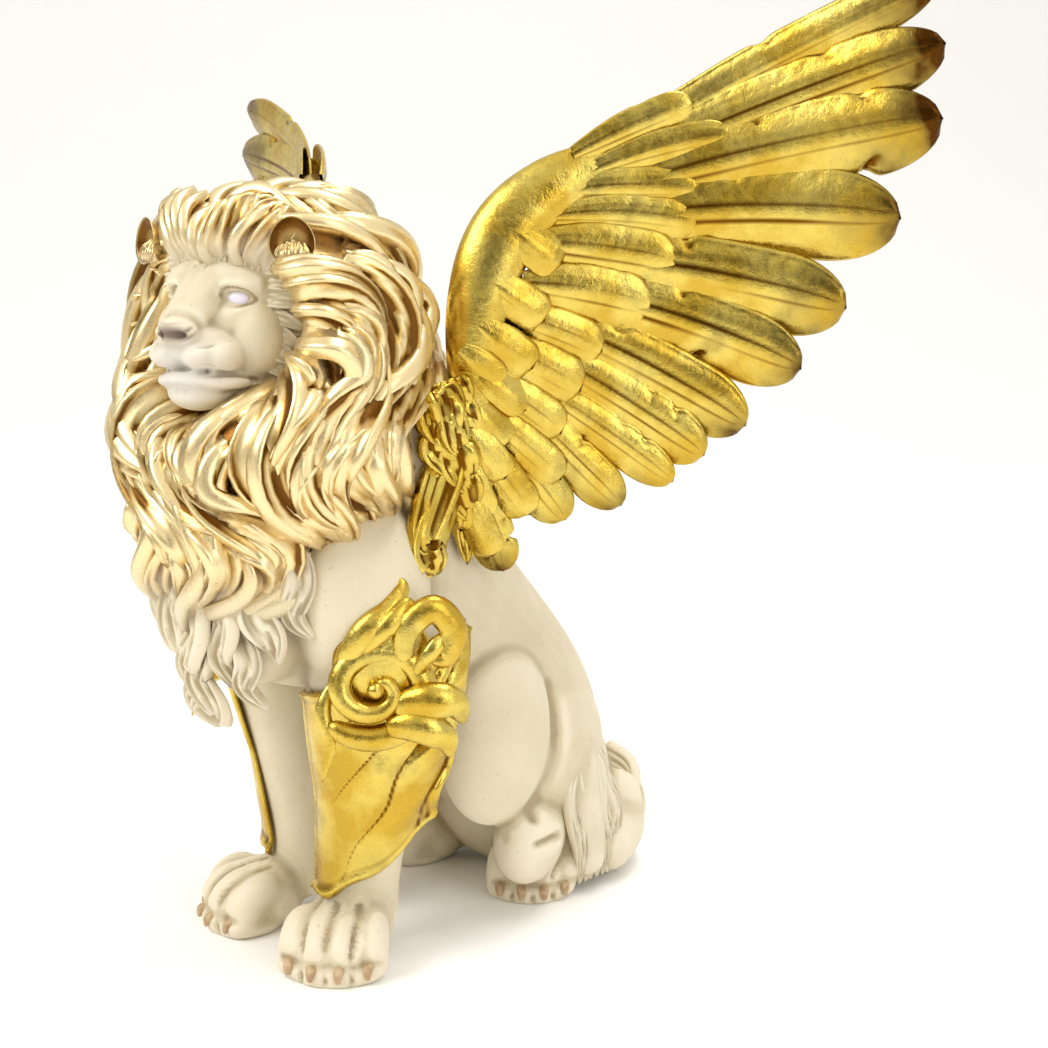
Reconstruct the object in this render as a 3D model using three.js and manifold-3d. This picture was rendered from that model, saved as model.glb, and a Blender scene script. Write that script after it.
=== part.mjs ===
// Seated winged lion, a hollow-cast figure with two wings that are cast apart and fixed at the shoulders.
// Millimetres, +Z up. The lion faces -Y, its left side is +X, and it sits on the plane z = 0.
import * as THREE from 'three';
import { mergeVertices } from 'three/addons/utils/BufferGeometryUtils.js';
import Module from 'manifold-3d';

const wasm = await Module();
wasm.setup();

// Driving dimensions
const maneTop = 400;
const maneHalfWidth = 68;
const maneHalfLength = 56;
const maneHalfHeight = 104;
const maneMiddle = 300;
const maneCentreY = -112;
const headCentre = [-1, -140.4, 342];
const headYaw = 0.21;
const foreLegRadius = 21;
const forePaw = { length: 64, width: 58, height: 34 };
const hindPaw = { length: 60, width: 52, height: 32 };
const rumpHeight = 53;
const seatX = 60;
const seatGap = 0.3;
const seatFrontY = -68;
const seatBottomZ = 188;
const seatTopZ = 372;
const seatBackY = 60;
const wingSweep = THREE.MathUtils.degToRad(35);
const wingRootY = -45;
const wingSpan = 236;
const wingCup = 24;
const wingTipForward = 10;
const rightWingDrop = 0.15;
const featherThickness = 3;
const featherSteps = 3;
const sizeOfCutter = 900;

function vec(p) {
  return new THREE.Vector3(p[0], p[1], p[2]);
}

function toSolid(geometry) {
  geometry.deleteAttribute('normal');
  geometry.deleteAttribute('uv');
  const merged = mergeVertices(geometry, 1e-4);
  const mesh = new wasm.Mesh({
    numProp: 3,
    vertProperties: new Float32Array(merged.attributes.position.array),
    triVerts: new Uint32Array(merged.index.array),
  });
  return new wasm.Manifold(mesh);
}

function toGeometry(solid) {
  const mesh = solid.getMesh();
  const geometry = new THREE.BufferGeometry();
  geometry.setAttribute('position', new THREE.BufferAttribute(mesh.vertProperties, 3));
  geometry.setIndex(new THREE.BufferAttribute(mesh.triVerts, 1));
  return geometry;
}

// Joins solids and keeps the outer skin, so no small void stays shut in between them.
function join(solids) {
  const whole = solids.reduce((sum, next) => sum.add(next));
  return whole.decompose().reduce((most, next) => (next.volume() > most.volume() ? next : most));
}

// An egg-shaped mass, turned about Z by yaw and tilted about its own X axis by pitch.
function mass(centre, radii, yaw = 0, pitch = 0, around = 10, down = 7) {
  const geometry = new THREE.SphereGeometry(1, around, down);
  geometry.scale(radii[0], radii[1], radii[2]);
  geometry.rotateX(pitch);
  geometry.rotateZ(yaw);
  geometry.translate(centre[0], centre[1], centre[2]);
  return toSolid(geometry);
}

// A closed bar along a smooth curve. halfWidth and halfDepth give its section at each point from 0 to 1,
// and facing is the direction that its flat side looks in.
function bar(points, halfWidth, halfDepth, facing, sides = 6, steps = 6) {
  const curve = new THREE.CatmullRomCurve3(points.map(vec));
  const geometry = new THREE.CylinderGeometry(1, 1, 1, sides, steps);
  const place = geometry.attributes.position;
  for (let i = 0; i < place.count; i += 1) {
    const t = THREE.MathUtils.clamp(place.getY(i) + 0.5, 0, 1);
    const along = curve.getTangent(t);
    const side = new THREE.Vector3().crossVectors(along, vec(facing)).normalize();
    const out = new THREE.Vector3().crossVectors(side, along).normalize();
    const point = curve.getPoint(t);
    point.addScaledVector(side, place.getX(i) * halfWidth(t));
    point.addScaledVector(out, place.getZ(i) * halfDepth(t));
    place.setXYZ(i, point.x, point.y, point.z);
  }
  return toSolid(geometry);
}

// Radii that run smoothly through the given values from one end of a bar to the other.
function through(values) {
  const curve = new THREE.SplineCurve(values.map((v, i) => new THREE.Vector2(i, v)));
  return (t) => curve.getPoint(t).y;
}

// A leaf outline: narrow at the root, widest past the middle, round at the tip.
function leaf(half, tipShare = 0.5) {
  return (t) => {
    const body = 0.45 + 0.55 * Math.sin(Math.min(t / 0.65, 1) * Math.PI / 2);
    const end = t > 0.72 ? Math.sqrt(Math.max(1 - ((t - 0.72) / 0.28) ** 2, 0)) : 1;
    return half * Math.max(body * end, tipShare);
  };
}

// A hank of hair: full at the root and running out to a point.
function taper(half) {
  return (t) => half * (0.1 + 0.9 * Math.sin(Math.PI * (0.32 + 0.66 * t)));
}

function torso() {
  const spine = [[0, -100, 248], [0, -62, 212], [0, 4, 152], [0, 52, 96], [0, 70, 44]];
  const width = through([46, 60, 58, 64, 62]);
  const depth = through([46, 62, 60, 58, 50]);
  return [
    bar(spine, width, depth, [0, 1, 1], 10, 5),
    mass([0, 72, rumpHeight], [64, 56, 62]),
    mass([0, -98, 205], [62, 56, 62]),
    mass([40, -46, 262], [27, 27, 62], 0, 0.2, 9, 7),
    mass([-40, -46, 262], [27, 27, 62], 0, 0.2, 9, 7),
  ];
}

function hindLeg(side) {
  const foot = [side * 63, 13, 0];
  return [
    mass([side * 50, -4, 102], [30, 46, 49], side * 0.12, -0.15, 9, 7),
    mass([side * 38, 42, 84], [36, 52, 50], 0, 0, 9, 6),
    ...paw(foot, side * 0.75, hindPaw),
  ];
}

function foreLeg(side, shoulder, elbow, wrist, toeFront, yaw) {
  const radius = through([34, 28, foreLegRadius + 1, foreLegRadius, foreLegRadius + 1]);
  const low = [wrist[0], wrist[1], 12];
  return [
    mass([side * 46, -98, 198], [25, 40, 48], side * 0.2, 0, 9, 6),
    bar([shoulder, elbow, wrist, low], radius, radius, [0, -1, 0], 7, 3),
    ...paw(toeFront, yaw, forePaw),
  ];
}

// Four rounded toes in an arc before a low instep. toeFront is the middle of the toes' front on the ground.
function paw(toeFront, yaw, size) {
  const ahead = [Math.sin(yaw), -Math.cos(yaw)];
  const across = [Math.cos(yaw), Math.sin(yaw)];
  const toes = [-1.5, -0.5, 0.5, 1.5].map((step) => {
    const back = size.length * (0.2 + 0.05 * step * step);
    const shift = step * size.width * 0.235;
    const x = toeFront[0] - ahead[0] * back + across[0] * shift;
    const y = toeFront[1] - ahead[1] * back + across[1] * shift;
    const radii = [size.width * 0.15, size.length * 0.22, size.height * 0.42];
    return mass([x, y, size.height * 0.34], radii, yaw, 0, 5, 4);
  });
  const x = toeFront[0] - ahead[0] * size.length * 0.52;
  const y = toeFront[1] - ahead[1] * size.length * 0.52;
  const radii = [size.width * 0.46, size.length * 0.42, size.height * 0.6];
  const instep = mass([x, y, size.height * 0.4], radii, yaw, 0, 7, 5);
  return [instep, ...toes];
}

// The leaf-shaped guard on a foreleg, with a scroll on its outer side.
function greave(side, top, middle, bottom) {
  const radius = through([20, 29, 27, 24]);
  const high = [top[0] + side * 6, top[1], top[2] + 12];
  const scroll = [top[0] + side * 14, top[1] + 3, top[2] - 6];
  const flare = [middle[0] + side * 20, middle[1] + 20, middle[2] - 8];
  const flareTip = [middle[0] + side * 10, middle[1] + 26, middle[2] - 46];
  return [
    bar([high, top, middle, bottom], radius, radius, [0, -1, 0], 7, 3),
    mass(scroll, [13, 24, 25], side * 0.5, 0, 6, 4),
    mass([scroll[0] + side * 3, scroll[1] + 24, scroll[2] + 22], [9, 13, 16], side * 0.4, 0, 6, 5),
    bar([middle, flare, flareTip], taper(16), taper(8), [side, 1, 0], 6, 4),
  ];
}

function tail() {
  const flank = [[52, 62, 98], [62, 58, 62], [64, 56, 22], [66, 60, 6]];
  const route = [[0, 104, 52], [28, 118, 30], [50, 112, 18], [62, 84, 12], [66, 66, 10]];
  return [
    bar(route, through([16, 18, 17, 15, 8]), through([16, 22, 20, 15, 10]), [0, 0, 1], 6, 4),
    bar(flank, through([12, 15, 13, 8]), through([9, 12, 11, 9]), [1, 0, 0], 5, 2),
    mass([50, 112, 30], [16, 18, 22], 0, 0, 9, 7),
  ];
}

// Places a point of the head, given to its left, ahead and up from the middle of the skull.
function onHead(left, ahead, up) {
  const x = headCentre[0] + left * Math.cos(headYaw) + ahead * Math.sin(headYaw);
  const y = headCentre[1] + left * Math.sin(headYaw) - ahead * Math.cos(headYaw);
  return [x, y, headCentre[2] + up];
}

function head() {
  const pieces = [
    mass(headCentre, [34, 36, 40], headYaw),
    mass(onHead(0, 18, -16), [21, 28, 23], headYaw, -0.12),
    mass(onHead(0, 24, -38), [14, 20, 11], headYaw, 0.1, 7, 5),
    mass(onHead(0, 20, 10), [11, 24, 12], headYaw, 0.5, 7, 5),
    mass(onHead(0, 15, 27), [24, 18, 12], headYaw, 0, 7, 5),
  ];
  for (const side of [-1, 1]) {
    pieces.push(mass(onHead(side * 9, 33, -24), [11, 13.6, 11], headYaw, 0, 7, 5));
    pieces.push(mass(onHead(side * 42, -10, 26), [12, 8, 13], headYaw + side * 0.5, 0, 7, 5));
  }
  return pieces;
}

// A point on the mane: turn is the angle about Z from straight ahead, and height is measured from the ground.
function onMane(turn, height, proud) {
  const share = Math.sqrt(Math.max(1 - ((height - maneMiddle) / maneHalfHeight) ** 2, 0.12));
  const x = Math.sin(turn) * (maneHalfWidth * share + proud);
  const y = maneCentreY - Math.cos(turn) * (maneHalfLength * share + proud);
  return [x, y, height];
}

// Long hanks that run down from the crown and swing from side to side as they fall. The ones below the face
// start under the jaw.
function mane() {
  const pieces = [
    mass([0, maneCentreY + 8, 318], [maneHalfWidth - 2, maneHalfLength - 2, maneTop - 316], 0, 0.1, 10, 7),
    mass([-2, -128, 252], [maneHalfWidth - 10, 40, 60], 0, 0, 10, 7),
  ];
  const hankCount = 12;
  const faceHalfTurn = 0.75;
  for (let i = 0; i < hankCount; i += 1) {
    const turn = (i / (hankCount - 1) - 0.5) * 1.5 * Math.PI;
    const underFace = Math.abs(turn) < faceHalfTurn;
    const high = underFace ? 286 : 384;
    const low = 206 + Math.abs(turn) * 14 + (i % 2) * 12;
    const sway = (i % 2 ? 0.1 : -0.1);
    const route = [
      onMane(turn * 0.96, high, -6),
      onMane(turn + sway, high * 0.7 + low * 0.3, 2),
      onMane(turn - sway, high * 0.35 + low * 0.65, 5),
      onMane(turn + sway * 0.6, low, -2),
    ];
    const facing = [Math.sin(turn), -Math.cos(turn), 0];
    pieces.push(bar(route, taper(15), taper(11), facing, 3, 3));
  }
  return pieces;
}

// Long hanks on the breast, hanging from below the jaw and ending in points above the forelegs.
function breastHair() {
  const pieces = [];
  const rows = [
    { count: 4, top: 292, bottom: 206, spread: 25, y: -166, half: 11 },
    { count: 3, top: 236, bottom: 156, spread: 22, y: -150, half: 11 },
  ];
  rows.forEach((row) => {
    for (let i = 0; i < row.count; i += 1) {
      const across = (i - (row.count - 1) / 2) * row.spread - 3;
      const sway = i % 2 ? 6 : -6;
      const y = row.y + (across / 30) ** 2 * 6;
      const middle = (row.top + row.bottom) / 2;
      const end = row.bottom + Math.abs(across) * 0.45;
      const route = [
        [across, y + 12, row.top],
        [across + sway, y, middle + 12],
        [across - sway, y + 2, middle - 16],
        [across, y + 9, end],
      ];
      pieces.push(bar(route, taper(row.half), taper(row.half * 0.8), [across / 60, -1, 0], 3, 3));
    }
  });
  return pieces;
}

// A point of a wing: out along the sweep from its root line, up, and ahead of its middle face. The wing is
// cupped, with its tips forward, and the right one is carried lower.
function onWing(side, out, up, ahead = 0) {
  const share = THREE.MathUtils.clamp(out / wingSpan, 0, 1);
  const proud = ahead + wingTipForward * share * share - wingCup * Math.sin(Math.PI * share);
  const x = seatX + out * Math.cos(wingSweep) + proud * Math.sin(wingSweep);
  const y = wingRootY + out * Math.sin(wingSweep) - proud * Math.cos(wingSweep);
  const drop = side < 0 ? rightWingDrop * Math.max(out, 0) : 0;
  return [side * x, y, up - drop];
}

// A row of feathers from points of one curve to points of another, given as out and up on the wing.
function featherRow(side, roots, tips, count, half, ahead) {
  const rootCurve = new THREE.SplineCurve(roots.map((p) => new THREE.Vector2(...p)));
  const tipCurve = new THREE.SplineCurve(tips.map((p) => new THREE.Vector2(...p)));
  const facing = [side * Math.sin(wingSweep), -Math.cos(wingSweep), 0];
  const feathers = [];
  for (let i = 0; i < count; i += 1) {
    const t = i / (count - 1);
    const root = rootCurve.getPoint(t);
    const tip = tipCurve.getPointAt(t);
    const bow = root.clone().lerp(tip, 0.55);
    bow.x += (tip.y - root.y) * 0.05;
    bow.y += (tip.x - root.x) * 0.07;
    const layer = ahead + (i % 2) * 0.8;
    const route = [
      onWing(side, root.x, root.y, layer),
      onWing(side, bow.x, bow.y, layer + 1.5),
      onWing(side, tip.x, tip.y, layer - 1.5),
    ];
    const width = leaf(half * (1 - 0.25 * t));
    feathers.push(bar(route, width, () => featherThickness, facing, 4, featherSteps));
  }
  return feathers;
}

function wing(side) {
  const armLine = [[0, 262], [6, 330], [34, 382], [96, 418]];
  const flightTips = [[226, 491], [232, 438], [203, 354], [149, 284], [106, 252], [56, 232], [17, 202]];
  const covertTips = [[130, 426], [117, 385], [94, 341], [62, 305], [50, 262]];
  const smallTips = [[66, 388], [48, 352], [38, 318], [34, 276]];
  const armRoute = [[5, 244, 2], [3, 330, 3], [36, 386, 3], [108, 428, 1]];
  const arm = armRoute.map((p) => onWing(side, p[0], p[1], p[2]));
  const parts = [
    bar(arm, through([16, 18, 13, 6]), through([13, 14, 10, 5]), [side * 0.64, -0.77, 0], 7, 4),
    ...featherRow(side, [[84, 412], [40, 360], [18, 300], [10, 256]], flightTips, 9, 21, -1),
    ...featherRow(side, [[70, 408], [30, 350], [10, 270]], covertTips, 5, 17, 3),
    ...featherRow(side, armLine.slice().reverse().slice(1), smallTips, 3, 15, 7),
    ...featherRow(side, [[8, 290], [9, 262]], [[32, 232], [20, 212]], 2, 13, 5),
  ];
  const outer = new THREE.BoxGeometry(sizeOfCutter, sizeOfCutter, sizeOfCutter);
  const half = sizeOfCutter / 2;
  outer.translate(side * (seatX + half), seatFrontY + half, seatBottomZ + half);
  return join(parts).intersect(toSolid(outer));
}

function body() {
  const leftLeg = { elbow: [44, -93, 122], wrist: [30, -90, 42] };
  const rightLeg = { elbow: [-43, -68, 120], wrist: [-35, -67, 42] };
  const parts = [
    ...torso(),
    ...hindLeg(1),
    ...hindLeg(-1),
    ...foreLeg(1, [48, -98, 190], leftLeg.elbow, leftLeg.wrist, [49, -136, 0], 0.54),
    ...foreLeg(-1, [-48, -88, 190], rightLeg.elbow, rightLeg.wrist, [-60, -127, 0], -0.42),
    ...greave(1, [52, -96, 168], [46, -95, 124], [32, -93, 60]),
    ...greave(-1, [-52, -82, 168], [-46, -70, 124], [-37, -69, 60]),
    ...tail(),
    ...mane(),
    ...breastHair(),
    ...head(),
  ];
  let whole = join(parts);
  const ground = new THREE.BoxGeometry(sizeOfCutter, sizeOfCutter, sizeOfCutter);
  ground.translate(0, 0, -sizeOfCutter / 2);
  whole = whole.subtract(toSolid(ground));
  for (const side of [-1, 1]) {
    const depth = seatBackY - seatFrontY;
    const seat = new THREE.BoxGeometry(sizeOfCutter, depth, seatTopZ - seatBottomZ);
    seat.translate(
      side * (seatX - seatGap + sizeOfCutter / 2),
      seatFrontY - seatGap + depth / 2,
      (seatTopZ + seatBottomZ) / 2 - seatGap,
    );
    whole = whole.subtract(toSolid(seat));
  }
  return whole;
}

const creamResin = new THREE.MeshStandardMaterial({ color: 0xdcd3c4, roughness: 0.7, metalness: 0 });
const goldLeaf = new THREE.MeshStandardMaterial({ color: 0xd9b84a, roughness: 0.3, metalness: 0.9 });

const pieces = [
  { name: 'body', solid: body(), material: creamResin },
  { name: 'wing_left', solid: wing(1), material: goldLeaf },
  { name: 'wing_right', solid: wing(-1), material: goldLeaf },
];

const group = new THREE.Group();
const meshes = pieces.map((piece) => {
  const mesh = new THREE.Mesh(toGeometry(piece.solid), piece.material);
  mesh.name = piece.name;
  group.add(mesh);
  return mesh;
});

// The origin is the middle of the whole figure's footprint.
const box = new THREE.Box3().setFromObject(group);
const middle = box.getCenter(new THREE.Vector3());
meshes.forEach((mesh) => mesh.geometry.translate(-middle.x, -middle.y, 0));

export default group;
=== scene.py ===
import bpy
import bmesh
import math
import random
import numpy as np
from mathutils import Matrix, Vector
from mathutils.bvhtree import BVHTree


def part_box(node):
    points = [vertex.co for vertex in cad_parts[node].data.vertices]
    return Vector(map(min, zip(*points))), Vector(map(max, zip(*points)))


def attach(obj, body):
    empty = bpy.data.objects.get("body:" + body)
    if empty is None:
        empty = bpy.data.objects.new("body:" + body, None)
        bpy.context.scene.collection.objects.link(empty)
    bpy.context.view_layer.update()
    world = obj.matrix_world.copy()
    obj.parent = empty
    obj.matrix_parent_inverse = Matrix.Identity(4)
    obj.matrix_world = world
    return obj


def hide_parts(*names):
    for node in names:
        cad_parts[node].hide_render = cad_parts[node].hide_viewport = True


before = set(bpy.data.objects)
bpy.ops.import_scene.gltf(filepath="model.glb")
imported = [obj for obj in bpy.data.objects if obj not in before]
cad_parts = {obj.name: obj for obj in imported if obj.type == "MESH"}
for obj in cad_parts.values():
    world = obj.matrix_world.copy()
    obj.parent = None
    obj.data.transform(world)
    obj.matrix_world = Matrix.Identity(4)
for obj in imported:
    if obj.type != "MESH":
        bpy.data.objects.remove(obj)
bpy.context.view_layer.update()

# Everything below is in millimetres from the middle of the footprint, scaled by how tall the cast body is.
bodyLow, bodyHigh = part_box("body")
designBodyHeight = 396.7
mm = (bodyHigh[2] - bodyLow[2]) / designBodyHeight
random.seed(7)


def curveThrough(points, share):
    # smooth curve through the given points at shares from 0 to 1
    pts = np.array(points, float)
    n = len(pts) - 1
    padded = np.concatenate([[2 * pts[0] - pts[1]], pts, [2 * pts[-1] - pts[-2]]])
    t = np.clip(np.asarray(share, float) * n, 0, n)
    i = np.minimum(t.astype(int), n - 1)
    f = (t - i).reshape(-1, *([1] * (pts.ndim - 1)))
    a, b, c, d = padded[i], padded[i + 1], padded[i + 2], padded[i + 3]
    return 0.5 * (2 * b + (c - a) * f + (2 * a - 5 * b + 4 * c - d) * f ** 2
            + (3 * b - a - 3 * c + d) * f ** 3)


def ramp(values, share):
    return curveThrough(np.array(values, float), share)


def unit(v):
    return v / np.maximum(np.linalg.norm(v, axis=-1, keepdims=True), 1e-9)


def gridForm(bm, steps, around, place):
    # a grid rolled into a closed form: u runs along it and v round it, both from 0 to 1
    made = bmesh.ops.create_grid(bm, x_segments=steps, y_segments=around, size=0.5)["verts"]
    flat = np.array([(v.co.x + 0.5, v.co.y + 0.5) for v in made])
    where = place(flat[:, 0], flat[:, 1])
    for vert, co in zip(made, where):
        vert.co = co
    bmesh.ops.remove_doubles(bm, verts=made, dist=1e-4)


def alongPath(points, u, facing):
    # points, sideways and outward directions of a path at shares u
    centre = curveThrough(points, u)
    after, before = np.clip(u + 0.01, 0, 1), np.clip(u - 0.01, 0, 1)
    ahead = unit(curveThrough(points, after) - curveThrough(points, before))
    out = np.broadcast_to(np.asarray(facing, float), centre.shape)
    side = unit(np.cross(ahead, out))
    return centre, side, unit(np.cross(side, ahead))


def addBar(bm, points, halfWidth, halfDepth, facing, steps=18, around=20):
    # a round closed bar along a smooth path
    def place(u, v):
        centre, side, out = alongPath(points, u, facing)
        end = np.sqrt(np.clip(1 - (2 * u - 1) ** 16, 0, 1))
        w = (ramp(halfWidth, u) * end)[:, None]
        d = (ramp(halfDepth, u) * end)[:, None]
        turn = (2 * math.pi * v)[:, None]
        return centre + side * np.cos(turn) * w - out * np.sin(turn) * d
    gridForm(bm, steps, around, place)


def addMass(bm, centre, radii, yaw=0.0, pitch=0.0, detail=4):
    place = Matrix.Translation(centre) @ Matrix.Rotation(yaw, 4, "Z") @ Matrix.Rotation(pitch, 4, "X")
    size = Matrix.Diagonal((*radii, 1))
    bmesh.ops.create_icosphere(bm, subdivisions=detail, radius=1, matrix=place @ size)


def addObject(name, data):
    made = bpy.data.objects.new(name, data)
    bpy.context.collection.objects.link(made)
    return made


def newPiece(name, bm, finish, reach=0, node="body"):
    # the bmesh is in millimetres; the piece is in metres, in the frame's own axes
    # finish is a material and its slot name, which is not used, and reach says how wide its hollows are
    material, slot = finish
    bmesh.ops.scale(bm, vec=(mm, mm, mm), verts=bm.verts)
    bmesh.ops.recalc_face_normals(bm, faces=bm.faces)
    mesh = bpy.data.meshes.new(name)
    bm.to_mesh(mesh)
    bm.free()
    piece = addObject(name, mesh)
    mesh.materials.append(material)
    mesh.polygons.foreach_set("use_smooth", [True] * len(mesh.polygons))
    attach(piece, "root")
    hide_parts(node)
    if reach:
        paint(piece, "hollow", hollowness(piece, reach))
    return piece


def melt(bm, voxel, rounds):
    # joins overlapping masses into one skin and eases the joins; gives back a mesh in millimetres
    mesh = bpy.data.meshes.new("melt")
    bm.to_mesh(mesh)
    bm.free()
    piece = addObject("melt", mesh)
    remesh = piece.modifiers.new("Remesh", "REMESH")
    remesh.mode = "VOXEL"
    remesh.voxel_size = voxel
    smooth = piece.modifiers.new("Smooth", "SMOOTH")
    smooth.factor = 0.5
    smooth.iterations = rounds
    graph = bpy.context.evaluated_depsgraph_get()
    done = bpy.data.meshes.new_from_object(piece.evaluated_get(graph))
    bpy.data.objects.remove(piece)
    bpy.data.meshes.remove(mesh)
    return done


def readSkin(mesh):
    count = len(mesh.vertices)
    place = np.empty(count * 3)
    mesh.vertices.foreach_get("co", place)
    normal = np.empty(count * 3)
    mesh.vertices.foreach_get("normal", normal)
    return place.reshape(-1, 3), normal.reshape(-1, 3)


def writeSkin(mesh, place):
    mesh.vertices.foreach_set("co", place.ravel())
    mesh.update()


def pressAt(place, centre, radius, push):
    # a soft brush: moves the skin near centre by push
    far = np.sum(((place - np.array(centre, float)) / np.array(radius, float)) ** 2, axis=1)
    place += np.exp(-far)[:, None] * np.array(push, float)


def distanceToLine(place, points, steps=24):
    line = curveThrough(points, np.linspace(0, 1, steps))
    best = np.full(len(place), 1e9)
    for a, b in zip(line[:-1], line[1:]):
        ab = b - a
        t = np.clip(((place - a) @ ab) / (ab @ ab), 0, 1)
        best = np.minimum(best, np.linalg.norm(place - a - t[:, None] * ab, axis=1))
    return best


def carveLine(place, normal, points, width, depth):
    # a groove along a curve, or a raised line where depth is negative
    near = np.exp(-(distanceToLine(place, points) / width) ** 2)
    place -= normal * (near * depth)[:, None]


def toBmesh(mesh):
    bm = bmesh.new()
    bm.from_mesh(mesh)
    bpy.data.meshes.remove(mesh)
    return bm


def paint(piece, name, values):
    # one grey value for each point of a piece, which its finish reads
    layer = piece.data.attributes.new(name, "FLOAT", "POINT")
    layer.data.foreach_set("value", np.asarray(values, float))


def hollowness(piece, reach=3):
    # how deep each point sits below its neighbours, from 0 to 1
    mesh = piece.data
    place, normal = readSkin(mesh)
    edges = np.empty(len(mesh.edges) * 2, int)
    mesh.edges.foreach_get("vertices", edges)
    edges = edges.reshape(-1, 2)
    count = np.bincount(edges.ravel(), minlength=len(place)).astype(float)
    eased = place.copy()
    for _ in range(reach):
        total = np.zeros_like(eased)
        np.add.at(total, edges[:, 0], eased[edges[:, 1]])
        np.add.at(total, edges[:, 1], eased[edges[:, 0]])
        eased = total / np.maximum(count, 1)[:, None]
    depth = np.sum((eased - place) * normal, axis=1) / (mm * 0.35)
    return np.clip(depth, -1, 1) * 0.5 + 0.5


def linear(code):
    parts = [int(code[i:i + 2], 16) / 255 for i in (1, 3, 5)]
    return tuple(c / 12.92 if c <= 0.04045 else ((c + 0.055) / 1.055) ** 2.4 for c in parts) + (1.0,)


def addNode(tree, kind, settings=None, links=None):
    node = tree.nodes.new(kind)
    for key, value in (settings or {}).items():
        if key in node.inputs:
            node.inputs[key].default_value = value
        else:
            setattr(node, key, value)
    for key, source in (links or {}).items():
        tree.links.new(source, node.inputs[key])
    return node


def startFinish(name):
    finish = bpy.data.materials.new(name)
    finish.use_nodes = True
    tree = finish.node_tree
    shader = tree.nodes["Principled BSDF"]
    where = addNode(tree, "ShaderNodeTexCoord").outputs["Object"]
    return finish, tree, shader, where


def blendColours(tree, share, low, high):
    mix = addNode(tree, "ShaderNodeMix", {"data_type": "RGBA"})
    for socket, value in ((6, low), (7, high)):
        if isinstance(value, str):
            mix.inputs[socket].default_value = linear(value)
        else:
            tree.links.new(value, mix.inputs[socket])
    tree.links.new(share, mix.inputs[0])
    return mix.outputs[2]


def spread(tree, value, low, high, outLow=0.0, outHigh=1.0):
    settings = {"From Min": low, "From Max": high, "To Min": outLow, "To Max": outHigh}
    return addNode(tree, "ShaderNodeMapRange", settings, {"Value": value}).outputs["Result"]


def perMetre(sizeInMm):
    # a pattern's scale from the real size of one of its cells
    return 1000.0 / sizeInMm


def castResin():
    # polyresin cast in a rubber mould; painted shade darkens its hollows towards brown and a painted
    # highlight lightens its raised places
    finish, tree, shader, where = startFinish("polyresinPaintedShadeAndHighlight")
    cloud = addNode(tree, "ShaderNodeTexNoise", {"Scale": perMetre(38), "Detail": 4.0},
            {"Vector": where})
    speck = addNode(tree, "ShaderNodeTexNoise", {"Scale": perMetre(2.2), "Detail": 3.0},
            {"Vector": where})
    hollow = addNode(tree, "ShaderNodeAttribute", {"attribute_name": "hollow"}).outputs["Fac"]
    base = blendColours(tree, spread(tree, cloud.outputs["Fac"], 0.35, 0.65), "#C6B998", "#D1C5A8")
    # painted shade in the hollows, then a painted highlight on the raised places
    hollowShaded = blendColours(tree, spread(tree, hollow, 0.58, 1.15), base, "#93805C")
    raisedHighlighted = blendColours(tree, spread(tree, hollow, 0.44, 0.1), hollowShaded, "#E2D7BE")
    dusty = blendColours(tree, spread(tree, speck.outputs["Fac"], 0.64, 0.74, 0, 0.35), raisedHighlighted, "#A78F70")
    pale = addNode(tree, "ShaderNodeAttribute", {"attribute_name": "pale"}).outputs["Fac"]
    faced = blendColours(tree, pale, dusty, "#D3CDC4")
    dark = addNode(tree, "ShaderNodeAttribute", {"attribute_name": "dark"}).outputs["Fac"]
    tree.links.new(blendColours(tree, dark, faced, "#6F5C50"), shader.inputs["Base Color"])
    tree.links.new(spread(tree, speck.outputs["Fac"], 0.3, 0.7, 0.5, 0.66), shader.inputs["Roughness"])
    grain = addNode(tree, "ShaderNodeBump", {"Strength": 0.12, "Distance": 0.0004},
            {"Height": speck.outputs["Fac"]})
    tree.links.new(grain.outputs["Normal"], shader.inputs["Normal"])
    shader.inputs["Subsurface Weight"].default_value = 0.08
    shader.inputs["Subsurface Scale"].default_value = 0.004
    return finish


def pearlPaint():
    # champagne metallic paint: brushed on in satin coats and gone at the lowest hair, with painted shade
    # in its hollows and a painted highlight on its raised edges
    finish, tree, shader, where = startFinish("champagneMetallicPaint")
    cloud = addNode(tree, "ShaderNodeTexNoise", {"Scale": perMetre(30), "Detail": 3.0},
            {"Vector": where})
    fleck = addNode(tree, "ShaderNodeTexNoise", {"Scale": perMetre(0.9), "Detail": 2.0},
            {"Vector": where})
    hollow = addNode(tree, "ShaderNodeAttribute", {"attribute_name": "hollow"}).outputs["Fac"]
    bare = addNode(tree, "ShaderNodeAttribute", {"attribute_name": "bare"}).outputs["Fac"]
    base = blendColours(tree, spread(tree, cloud.outputs["Fac"], 0.35, 0.65), "#B8954F", "#D0B070")
    # painted shade in the hollows, then a painted highlight on the raised edges
    deep = blendColours(tree, spread(tree, hollow, 0.53, 0.8), base, "#6A4410")
    bright = blendColours(tree, spread(tree, hollow, 0.46, 0.1), deep, "#E9D3A0")
    tree.links.new(blendColours(tree, bare, bright, "#D0C2A4"), shader.inputs["Base Color"])
    tree.links.new(spread(tree, bare, 0.0, 1.0, 0.85, 0.0), shader.inputs["Metallic"])
    tree.links.new(spread(tree, fleck.outputs["Fac"], 0.3, 0.7, 0.26, 0.38), shader.inputs["Roughness"])
    grain = addNode(tree, "ShaderNodeBump", {"Strength": 0.1, "Distance": 0.0002},
            {"Height": fleck.outputs["Fac"]})
    tree.links.new(grain.outputs["Normal"], shader.inputs["Normal"])
    return finish


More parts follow.
